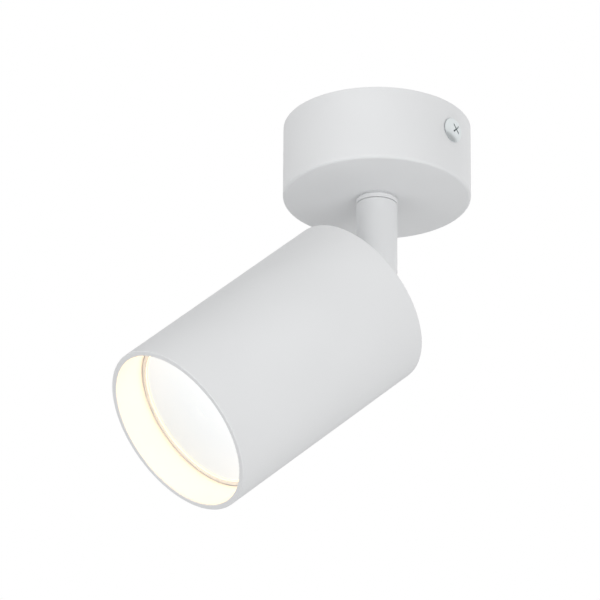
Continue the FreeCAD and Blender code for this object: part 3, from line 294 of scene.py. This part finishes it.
@dataclass(frozen=True)
class StripedSilicone:
    """Green silicone insulation with a yellow stripe down the lead."""

    name: str
    green: str = "#3f8f3a"
    yellow: str = "#d9c420"
    stripe_mm: float = 1.6
    roughness: float = 0.45

    def make(self) -> bpy.types.Material:
        """Build the material.

        Returns:
            The material.
        """
        material, tree, output = new_material(self.name)
        place = add_node(tree, "ShaderNodeTexCoord").outputs["Object"]
        wave = add_node(tree, "ShaderNodeTexWave",
                        {"Vector": place,
                         "Scale": 1 / (self.stripe_mm * MM * BANDS_PER_METRE)},
                        bands_direction="Z")
        edge = add_node(tree, "ShaderNodeMapRange",
                        {"Value": wave.outputs["Fac"], "From Min": 0.45, "From Max": 0.55})
        tone = add_node(tree, "ShaderNodeMix",
                        {"Factor": edge.outputs["Result"], "A": linear(self.green),
                         "B": linear(self.yellow)}, data_type="RGBA")
        shader = add_node(tree, "ShaderNodeBsdfPrincipled",
                          {"Base Color": tone.outputs["Result"], "Roughness": self.roughness,
                           "IOR": 1.41})
        tree.links.new(shader.outputs["BSDF"], output.inputs["Surface"])
        return material


@dataclass(frozen=True)
class WovenSleeve:
    """Braided glass-fibre sleeve: crossed yarns with a silky sheen, and painted shade in the gaps
    between them.
    """

    name: str
    colour: str = "#efece2"
    painted_gap_shade: str = "#c9c4b6"
    yarn_mm: float = 0.45
    braid_depth_mm: float = 0.1
    roughness: float = 0.7

    def make(self) -> bpy.types.Material:
        """Build the material.

        Returns:
            The material.
        """
        material, tree, output = new_material(self.name)
        place = add_node(tree, "ShaderNodeTexCoord").outputs["Object"]
        heights = []
        for slant in (45, -45):
            slanted = add_node(tree, "ShaderNodeMapping",
                               {"Vector": place, "Rotation": (0.0, math.radians(slant), 0.0)})
            yarns = add_node(tree, "ShaderNodeTexWave",
                             {"Vector": slanted.outputs["Vector"],
                              "Scale": 1 / (self.yarn_mm * MM * BANDS_PER_METRE)})
            heights.append(yarns.outputs["Fac"])
        braid = add_node(tree, "ShaderNodeMath", {0: heights[0], 1: heights[1]},
                         operation="MAXIMUM")
        # painted shade: the low parts between the yarns are coloured darker
        tone = add_node(tree, "ShaderNodeMix",
                        {"Factor": braid.outputs["Value"], "A": linear(self.painted_gap_shade),
                         "B": linear(self.colour)}, data_type="RGBA")
        bump = add_node(tree, "ShaderNodeBump",
                        {"Height": braid.outputs["Value"],
                         "Distance": self.braid_depth_mm * MM})
        shader = add_node(tree, "ShaderNodeBsdfPrincipled",
                          {"Base Color": tone.outputs["Result"], "Roughness": self.roughness,
                           "Normal": bump.outputs["Normal"], "Sheen Weight": 0.3})
        tree.links.new(shader.outputs["BSDF"], output.inputs["Surface"])
        return material


@dataclass(frozen=True)
class LitLens:
    """Frosted polycarbonate lit from behind: an even glow, with painted shading that makes it
    brighter to one side.

    Seen directly it stays just under white. As light it is warm, and it colours the
    recess round it.
    """

    name: str
    body: str = "#606060"
    # painted shading: the glow is tinted from this colour on one side to the bright colour on the
    # other
    painted_shade_tint: str = "#cfd5d7"
    bright: str = "#fafbfc"
    warm: str = "#ffd9a6"
    warm_strength: float = 4.4
    roughness: float = 0.5
    frost_mm: float = 0.35
    frost_depth_mm: float = 0.01
    spread_mm: float = 24.0

    def make(self) -> bpy.types.Material:
        """Build the material.

        Returns:
            The material.
        """
        material, tree, output = new_material(self.name)
        place = add_node(tree, "ShaderNodeTexCoord").outputs["Object"]
        frost = add_node(tree, "ShaderNodeTexNoise",
                         {"Vector": place, "Scale": 1 / (self.frost_mm * MM), "Detail": 2.0})
        bump = add_node(tree, "ShaderNodeBump",
                        {"Height": frost.outputs["Fac"], "Distance": self.frost_depth_mm * MM,
                         "Strength": 0.5})
        # painted shading: the glow's colour runs from the darker tint to the bright one across
        # the lens
        across = add_node(tree, "ShaderNodeVectorMath",
                          {0: place, 1: (0.0, -1.0, 0.0)}, operation="DOT_PRODUCT")
        ramp = add_node(tree, "ShaderNodeMapRange",
                        {"Value": across.outputs["Value"], "From Min": -self.spread_mm * MM,
                         "From Max": self.spread_mm * MM})
        glow = add_node(tree, "ShaderNodeMix",
                        {"Factor": ramp.outputs["Result"], "A": linear(self.painted_shade_tint),
                         "B": linear(self.bright)}, data_type="RGBA")
        shader = add_node(tree, "ShaderNodeBsdfPrincipled",
                          {"Base Color": linear(self.body), "Roughness": self.roughness,
                           "Normal": bump.outputs["Normal"], "IOR": 1.58,
                           "Emission Color": glow.outputs["Result"], "Emission Strength": 1.0})
        lamp = add_node(tree, "ShaderNodeEmission",
                        {"Color": linear(self.warm), "Strength": self.warm_strength})
        ray = add_node(tree, "ShaderNodeLightPath").outputs["Is Camera Ray"]
        mixed = add_node(tree, "ShaderNodeMixShader",
                         {0: ray, 1: lamp.outputs["Emission"], 2: shader.outputs["BSDF"]})
        tree.links.new(mixed.outputs["Shader"], output.inputs["Surface"])
        return material


# ------------------------------------------------------------------ what the frame says


def record_joint(name: str) -> dict:
    """The record's entry for one joint."""
    joints = frame["record"]["behaviour"]["joints"]
    return next(joint for joint in joints if joint["name"] == name)


PIVOT = Vector(record_joint("head_tilt")["pos_m"])
HEAD_DOWN = Vector(record_joint("lamp_twist")["axis"]).normalized()


def dress(nodes: list[str], material: bpy.types.Material) -> None:
    """Give CAD nodes one material.

    Args:
        nodes: The nodes' names.
        material: What they are finished in.
    """
    for name in nodes:
        piece = frame["nodes"][name]
        if not piece.material_slots:
            piece.data.materials.append(material)
        for holder in piece.material_slots:
            holder.material = material
        log.info("%s wears %s", name, material.name)


# ------------------------------------------------------------------ shapes made by turning


@dataclass(frozen=True)
class Corner:
    """One corner of a turned outline, in millimetres."""

    radius: float
    level: float
    round: float = 0.0


def turned(corners: list[Corner], steps: int) -> bmesh.types.BMesh:
    """Turn an outline about Z.

    Args:
        corners: The outline, which starts on the axis.
        steps: How many sides the turned shape has.

    Returns:
        The shape, which is open where the outline ends away from the axis.
    """
    shape = bmesh.new()
    points = [shape.verts.new((corner.radius * MM, 0.0, corner.level * MM)) for corner in corners]
    for first, second in zip(points, points[1:]):
        shape.edges.new((first, second))
    for point, corner in zip(points, corners):
        if corner.round:
            bmesh.ops.bevel(shape, geom=[point], offset=corner.round * MM, offset_type="OFFSET",
                            segments=ROUND_STEPS, profile=0.5, affect="VERTICES", material=-1)
    bmesh.ops.spin(shape, geom=shape.verts[:] + shape.edges[:], cent=(0, 0, 0), axis=(0, 0, 1),
                   angle=FULL_TURN, steps=steps, use_merge=True)
    bmesh.ops.remove_doubles(shape, verts=shape.verts, dist=WELD)
    return shape


# ------------------------------------------------------------------ canopy


@dataclass(frozen=True)
class SideScrews:
    """The two low pan-head M4 screws in the canopy's side, with cross recesses.

    Sizes are in millimetres. The depth is that of the screws' axes under the ceiling.
    """

    head_radius: float = 4.0
    head_height: float = 1.6
    edge_height: float = 0.45
    shoulder_radius: float = 3.2
    shoulder_height: float = 1.28
    crown_radius: float = 2.3
    rim_width: float = 0.1
    shank_radius: float = 2.0
    shank_length: float = 7.0
    shank_round: float = 0.3
    under_round: float = 0.1
    edge_round: float = 0.25
    shoulder_round: float = 0.5
    crown_round: float = 0.15
    seat_radius: float = 30.05
    depth: float = 9.45
    direction_deg: float = -61.6
    recess_turn_deg: float = 45.0
    arm_width: float = 0.5
    arm_length: float = 1.9
    recess_depth: float = 1.6
    recess_taper: float = 0.4
    rim_steps: int = 64

    def head(self) -> bmesh.types.BMesh:
        """Turn one screw about Z, head up, with the head's underside at level 0.

        Returns:
            The screw, open at the crown.
        """
        return turned([
            Corner(0.0, -self.shank_length),
            Corner(self.shank_radius, -self.shank_length, self.shank_round),
            Corner(self.shank_radius, 0.0),
            Corner(self.head_radius, 0.0, self.under_round),
            Corner(self.head_radius, self.edge_height, self.edge_round),
            Corner(self.shoulder_radius, self.shoulder_height, self.shoulder_round),
            Corner(self.crown_radius, self.head_height, self.crown_round),
            Corner(self.crown_radius - self.rim_width, self.head_height),
        ], self.rim_steps)

    def add_recess(self, shape: bmesh.types.BMesh) -> None:
        """Close the crown of the head with a tapered cross recess.

        Args:
            shape: The turned head, open at the crown.
        """
        rim = [edge for edge in shape.edges if edge.is_boundary]
        head = set(shape.faces)
        top = Vector((0, 0, self.head_height * MM))
        half = self.arm_width / 2 * MM
        reach = (self.arm_length * MM - half) / half

        # a square with an arm drawn out of each side is the cross
        square = bmesh.ops.create_grid(shape, x_segments=1, y_segments=1, size=half,
                                       matrix=Matrix.Translation(top))["verts"]
        for side in square[0].link_faces[0].edges[:]:
            outwards = (side.verts[0].co + side.verts[1].co) / 2 - top
            arm = bmesh.ops.extrude_edge_only(shape, edges=[side])["geom"]
            ends = [item for item in arm if isinstance(item, bmesh.types.BMVert)]
            bmesh.ops.translate(shape, verts=ends, vec=outwards * reach)
        cross = set(shape.faces) - head
        outline = self.outline(cross)

        # it is sunk and narrowed, and the crown is closed round it
        sunk = bmesh.ops.extrude_face_region(shape, geom=list(cross))["geom"]
        floor = [item for item in sunk if isinstance(item, bmesh.types.BMVert)]
        bmesh.ops.translate(shape, verts=floor, vec=(0, 0, -self.recess_depth * MM))
        bmesh.ops.scale(shape, verts=floor, vec=(self.recess_taper, self.recess_taper, 1.0))
        bmesh.ops.delete(shape, geom=list(cross), context="FACES")
        bmesh.ops.triangle_fill(shape, edges=rim + outline, use_beauty=True, normal=(0, 0, 1))

    @staticmethod
    def outline(faces: set[bmesh.types.BMFace]) -> list[bmesh.types.BMEdge]:
        """The outer edges of some faces."""
        return list({edge for face in faces for edge in face.edges if edge.is_boundary})

    def build(self, material: bpy.types.Material) -> None:
        """Make both screws as one piece on the ceiling side.

        Args:
            material: The screws' finish.
        """
        both = bmesh.new()
        mesh = bpy.data.meshes.new("one_screw")
        turn = Matrix.Rotation(math.radians(self.recess_turn_deg), 4, "Z")
        swing = Matrix.Rotation(math.radians(self.direction_deg), 4, "Z")
        for side in (1, -1):
            shape = self.head()
            self.add_recess(shape)
            out = Matrix.Rotation(math.radians(90 * side), 4, "Y")
            stand = Matrix.Translation((self.seat_radius * MM * side, 0, -self.depth * MM))
            shape.transform(swing @ stand @ out @ turn)
            shape.to_mesh(mesh)
            both.from_mesh(mesh)
            shape.free()
        bpy.data.meshes.remove(mesh)
        piece = add_piece("canopy_side_screws", both, material)
        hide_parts("canopy_screws")
        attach(piece, Body.CEILING.value)


# ------------------------------------------------------------------ knuckle


@dataclass(frozen=True)
class LeadSleeve:
    """The braided sleeve that brings the leads through stem and knuckle, and bends round the
    knuckle.

    Sizes are in millimetres. The bend starts and ends that far from the pivot.
    """

    radius: float = 1.95
    wall: float = 0.35
    top: float = -14.0
    reach: float = 16.75
    bend_start: float = 5.0
    sides: int = 32
    bend_steps: int = 24

    def build(self, material: bpy.types.Material) -> None:
        """Sweep the sleeve round the knuckle's bend.

        Args:
            material: The sleeve's finish.
        """
        pivot = PIVOT / MM
        down = Vector((0, 0, -1))
        turn = down.angle(HEAD_DOWN)
        bend_radius = self.bend_start / math.tan(turn / 2)
        axis = down.cross(HEAD_DOWN)
        shape = bmesh.new()
        ring = bmesh.ops.create_circle(shape, segments=self.sides, radius=self.radius * MM,
                                       matrix=Matrix.Translation((0, 0, self.top * MM)))
        edges = list({edge for vert in ring["verts"] for edge in vert.link_edges})
        straight = (self.top - pivot.z - self.bend_start) * MM
        edges = self.run(shape, edges, down * straight)
        side = axis.cross(down).normalized()
        centre = (pivot - down * self.bend_start + side * bend_radius) * MM
        swept = bmesh.ops.spin(shape, geom=edges, cent=centre, axis=axis, angle=turn,
                               steps=self.bend_steps)
        edges = [item for item in swept["geom_last"] if isinstance(item, bmesh.types.BMEdge)]
        self.run(shape, edges, HEAD_DOWN * (self.reach - self.bend_start) * MM)
        bmesh.ops.recalc_face_normals(shape, faces=shape.faces)
        bmesh.ops.solidify(shape, geom=shape.faces[:], thickness=self.wall * MM)
        piece = add_piece("braided_lead_sleeve", shape, material)
        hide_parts("lead_sleeve")
        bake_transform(piece)

    @staticmethod
    def run(
        shape: bmesh.types.BMesh, edges: list[bmesh.types.BMEdge], way: Vector
    ) -> list[bmesh.types.BMEdge]:
        """Draw a ring of edges out along a straight run.

        Args:
            shape: The shape that the ring is in.
            edges: The ring's edges.
            way: How far it goes, and in which direction.

        Returns:
            The edges of the ring at the run's end.
        """
        drawn = bmesh.ops.extrude_edge_only(shape, edges=edges)["geom"]
        ends = [item for item in drawn if isinstance(item, bmesh.types.BMVert)]
        bmesh.ops.translate(shape, verts=ends, vec=way)
        return [item for item in drawn if isinstance(item, bmesh.types.BMEdge)
                and all(vert in ends for vert in item.verts)]


# ------------------------------------------------------------------ finishes of the CAD pieces


@dataclass(frozen=True)
class PaintedShells:
    """The white outside: canopy, collar, stem, knuckle, head and the ring in its mouth."""

    # a soft matt white with the faintest unevenness, the whole look of the fitting
    coat: PowderCoat = PowderCoat("white_powder_coat")
    # a cool satin metal that stands out a little from the paint beside it
    nickel: MetalFinish = MetalFinish("satin_nickel_plate", "#dfe4e5", 0.4)

    def build(self) -> None:
        """Dress the painted pieces and make the bright screws."""
        dress(["canopy_cover", "stem_tube", "head_tube", "rear_cap", "hinge_tongue",
               "swivel_collar", "lamp_retaining_ring"], self.coat.make())
        bright = self.nickel.make()
        dress(["canopy_screws", "pivot_screws"], bright)
        SideScrews().build(bright)


@dataclass(frozen=True)
class HiddenMetal:
    """The plated steel, brass and copper pieces inside the canopy and the head."""

    # bluish grey steel, dull beside the nickel
    zinc: MetalFinish = MetalFinish("clear_zinc_plate", "#b9bfc4", 0.34)
    # darker, so that the spring washer reads apart from the nut on it
    spring: MetalFinish = MetalFinish("blued_spring_steel", "#8a8d92", 0.3)
    # the warm yellow of the clamps and contacts
    brass: MetalFinish = MetalFinish("turned_brass", "#c9a85c", 0.25)
    # a pale, slightly warm grey on the earth lugs
    tin: MetalFinish = MetalFinish("tin_plated_copper", "#c9c6bf", 0.32)
    # a brighter polish on the lamp's pins
    pin: MetalFinish = MetalFinish("pin_nickel", "#c8c6c0", 0.2)

    def build(self) -> None:
        """Dress every hidden metal piece."""
        dress(["mounting_plate", "socket_bracket", "earth_screw", "earth_washer",
               "bracket_screws", "socket_screws", "swivel_nipple", "lock_nut", "tongue_nut",
               "tongue_washer", "stop_washer", "terminal_screws", "terminal_fixing_screw"],
              self.zinc.make())
        dress(["spring_washer"], self.spring.make())
        dress(["terminal_clamps", "socket_contacts"], self.brass.make())
        dress(["earth_lug", "head_earth_lug"], self.tin.make())
        dress(["lamp_pins"], self.pin.make())


@dataclass(frozen=True)
class HiddenPlastic:
    """The moulded, ceramic and silicone pieces inside the canopy and the head."""

    # milky and waxy, without any colour
    washer: MouldedFinish = MouldedFinish("natural_nylon", "#ecebe2", "#e2e0d6", 0.45)
    # a plain off-white moulding, slightly glossier than the washers
    block: MouldedFinish = MouldedFinish("moulded_nylon", "#e9e8e2", "#dedcd4", 0.4)
    # brown, blue and green-yellow tell the three leads apart
    live: MouldedFinish = MouldedFinish("brown_silicone", "#6b4126", "#5c3720", 0.5, 1.41)
    neutral: MouldedFinish = MouldedFinish("blue_silicone", "#2f63ab", "#295696", 0.5, 1.41)
    earth: StripedSilicone = StripedSilicone("striped_silicone")
    # a fired body, warm white and a little glassy
    ceramic: MouldedFinish = MouldedFinish("fired_steatite", "#efebe2", "#e4dfd3", 0.35, 1.55)
    # a visible braid where the sleeve shows in the knuckle
    sleeve: WovenSleeve = WovenSleeve("glass_fibre_sleeve")

    def build(self) -> None:
        """Dress every hidden plastic and ceramic piece, and make the braided sleeve."""
        dress(["slide_washer", "friction_washers"], self.washer.make())
        dress(["terminal_housing"], self.block.make())
        dress(["canopy_live_lead", "head_live_lead"], self.live.make())
        dress(["canopy_neutral_lead", "head_neutral_lead"], self.neutral.make())
        dress(["canopy_earth_lead", "head_earth_lead"], self.earth.make())
        dress(["lamp_socket"], self.ceramic.make())
        braid = self.sleeve.make()
        dress(["lead_sleeve"], braid)
        LeadSleeve().build(braid)


@dataclass(frozen=True)
class Lamp:
    """The lamp: a plastic body behind a frosted lens that is lit from inside."""

    # a glossy white shell
    shell: MouldedFinish = MouldedFinish("white_lamp_plastic", "#f2f2f0", "#ececea", 0.25)
    # a smooth bright board
    board: MouldedFinish = MouldedFinish("white_solder_mask", "#f0f0ee", "#e8e8e6", 0.3)
    # the yellow windows of the light-emitting packages
    phosphor: MouldedFinish = MouldedFinish("phosphor_window", "#e6d35e", "#dcc850", 0.4)
    # the lit face of the lamp, the brightest thing in view
    lens: LitLens = LitLens("lit_frosted_lens")

    def build(self) -> None:
        """Dress the lamp's pieces."""
        dress(["lamp_housing", "lamp_base"], self.shell.make())
        dress(["lamp_led_board"], self.board.make())
        dress(["lamp_leds"], self.phosphor.make())
        dress(["lamp_lens"], self.lens.make())


# ------------------------------------------------------------------ light, floor and camera


@dataclass(frozen=True)
class Softbox:
    """One square lamp that faces the fitting, placed by angle as the camera views are.

    The distance and the side are in metres.
    """

    name: str
    azimuth_deg: float
    elevation_deg: float
    watts: float
    distance: float = 1.6
    side: float = 1.1

    def build(self) -> None:
        """Hang the lamp."""
        turn = math.radians(self.azimuth_deg)
        rise = math.radians(self.elevation_deg)
        away = Vector((math.sin(turn) * math.cos(rise), -math.cos(turn) * math.cos(rise),
                       math.sin(rise)))
        light = bpy.data.lights.new(self.name, "AREA")
        light.size = self.side
        light.energy = self.watts
        piece = bpy.data.objects.new(self.name, light)
        piece.location = PIVOT + away * self.distance
        piece.visible_glossy = False
        piece.rotation_euler = (-away).to_track_quat("-Z", "Y").to_euler()
        bpy.context.scene.collection.objects.link(piece)


@dataclass(frozen=True)
class Studio:
    """A pale floor a room's height below, soft lamps, and a white surround.

    The floor's drop and reach are in metres.
    """

    floor_drop: float = 2.4
    floor_reach: float = 6.0
    floor_glow: float = 0.6
    surround_level: float = 0.5
    lamps: tuple[Softbox, ...] = (
        Softbox("key_softbox", 16.0, -20.0, 9.8),
        Softbox("low_softbox", -10.0, -60.0, 3.2),
        Softbox("side_softbox", -80.0, -20.0, 5.8),
        Softbox("top_softbox", -60.0, 35.0, 5.6),
        Softbox("rear_softbox", 110.0, 30.0, 8.5),
    )

    def floor(self) -> None:
        """Lay the floor."""
        mesh = bpy.data.meshes.new("floor")
        shape = bmesh.new()
        bmesh.ops.create_grid(shape, x_segments=1, y_segments=1, size=self.floor_reach,
                              matrix=Matrix.Translation((0, 0, -self.floor_drop)))
        shape.to_mesh(mesh)
        shape.free()
        piece = bpy.data.objects.new("floor", mesh)
        bpy.context.scene.collection.objects.link(piece)
        material, tree, output = new_material("pale_floor")
        ray = add_node(tree, "ShaderNodeLightPath").outputs["Is Camera Ray"]
        paint = add_node(tree, "ShaderNodeBsdfDiffuse", {"Color": linear("#f4f4f4")})
        glow = add_node(tree, "ShaderNodeEmission",
                        {"Color": linear("#ffffff"), "Strength": self.floor_glow})
        both = add_node(tree, "ShaderNodeAddShader",
                        {0: paint.outputs["BSDF"], 1: glow.outputs["Emission"]})
        mixed = add_node(tree, "ShaderNodeMixShader",
                         {0: ray, 1: paint.outputs["BSDF"], 2: both.outputs["Shader"]})
        tree.links.new(mixed.outputs["Shader"], output.inputs["Surface"])
        piece.data.materials.append(material)

    def surround(self) -> None:
        """Set the world: white where it is seen or mirrored, a plain level as light."""
        world = bpy.data.worlds.new("white_surround")
        bpy.context.scene.world = world
        world.use_nodes = True
        tree = world.node_tree
        tree.nodes.clear()
        output = add_node(tree, "ShaderNodeOutputWorld")
        rays = add_node(tree, "ShaderNodeLightPath")
        direct = add_node(tree, "ShaderNodeMath",
                          {0: rays.outputs["Is Camera Ray"],
                           1: rays.outputs["Is Transmission Ray"]}, operation="MAXIMUM")
        seen = add_node(tree, "ShaderNodeMath",
                        {0: direct.outputs["Value"], 1: rays.outputs["Is Glossy Ray"]},
                        operation="MAXIMUM")
        light = add_node(tree, "ShaderNodeBackground",
                         {"Color": linear("#ffffff"), "Strength": self.surround_level})
        white = add_node(tree, "ShaderNodeBackground",
                         {"Color": linear("#ffffff"), "Strength": 1.0})
        mixed = add_node(tree, "ShaderNodeMixShader",
                         {0: seen.outputs["Value"], 1: light.outputs["Background"],
                          2: white.outputs["Background"]})
        tree.links.new(mixed.outputs["Shader"], output.inputs["Surface"])

    def build(self) -> None:
        """Make the floor, the surround and the lamps."""
        self.floor()
        self.surround()
        for lamp in self.lamps:
            lamp.build()


@dataclass(frozen=True)
class Viewpoint:
    """The camera: below the fitting and in front of it, looking up with a long lens.

    It stands at a distance from the row frame's origin, moved right and up across its own
    view. These lengths are in metres.
    """

    azimuth_deg: float = -23.1
    elevation_deg: float = -24.868
    roll_deg: float = 0.488
    distance: float = 1.5919
    aim_right: float = -0.024707
    aim_up: float = -0.054632
    lens_mm: float = 297.7
    sensor_mm: float = 36.0

    def build(self) -> None:
        """Make the scene's camera."""
        rise = math.radians(-self.elevation_deg)
        ahead = Vector((0, math.cos(rise), math.sin(rise)))
        up = Vector((0, -math.sin(rise), math.cos(rise)))
        right = Vector((1, 0, 0))
        roll = math.radians(self.roll_deg)
        rolled_right = right * math.cos(roll) + up * math.sin(roll)
        rolled_up = up * math.cos(roll) - right * math.sin(roll)
        place = rolled_right * self.aim_right + rolled_up * self.aim_up - ahead * self.distance
        axes = Matrix((rolled_right, rolled_up, -ahead)).transposed().to_4x4()
        swing = Matrix.Rotation(math.radians(self.azimuth_deg), 4, "Z")
        camera = bpy.data.cameras.new("camera")
        camera.lens = self.lens_mm
        camera.sensor_width = self.sensor_mm
        piece = bpy.data.objects.new("camera", camera)
        piece.matrix_world = swing @ Matrix.Translation(place) @ axes
        bpy.context.scene.collection.objects.link(piece)
        bpy.context.scene.camera = piece


# ------------------------------------------------------------------ the whole fitting


def main() -> None:
    """Build and dress the fitting, then light it."""
    logging.basicConfig(level=logging.INFO, format="%(message)s")
    bpy.context.scene.view_settings.view_transform = "Standard"
    for part in (PaintedShells(), HiddenMetal(), HiddenPlastic(), Lamp(), Studio(), Viewpoint()):
        part.build()


if __name__ == "__main__":
    main()
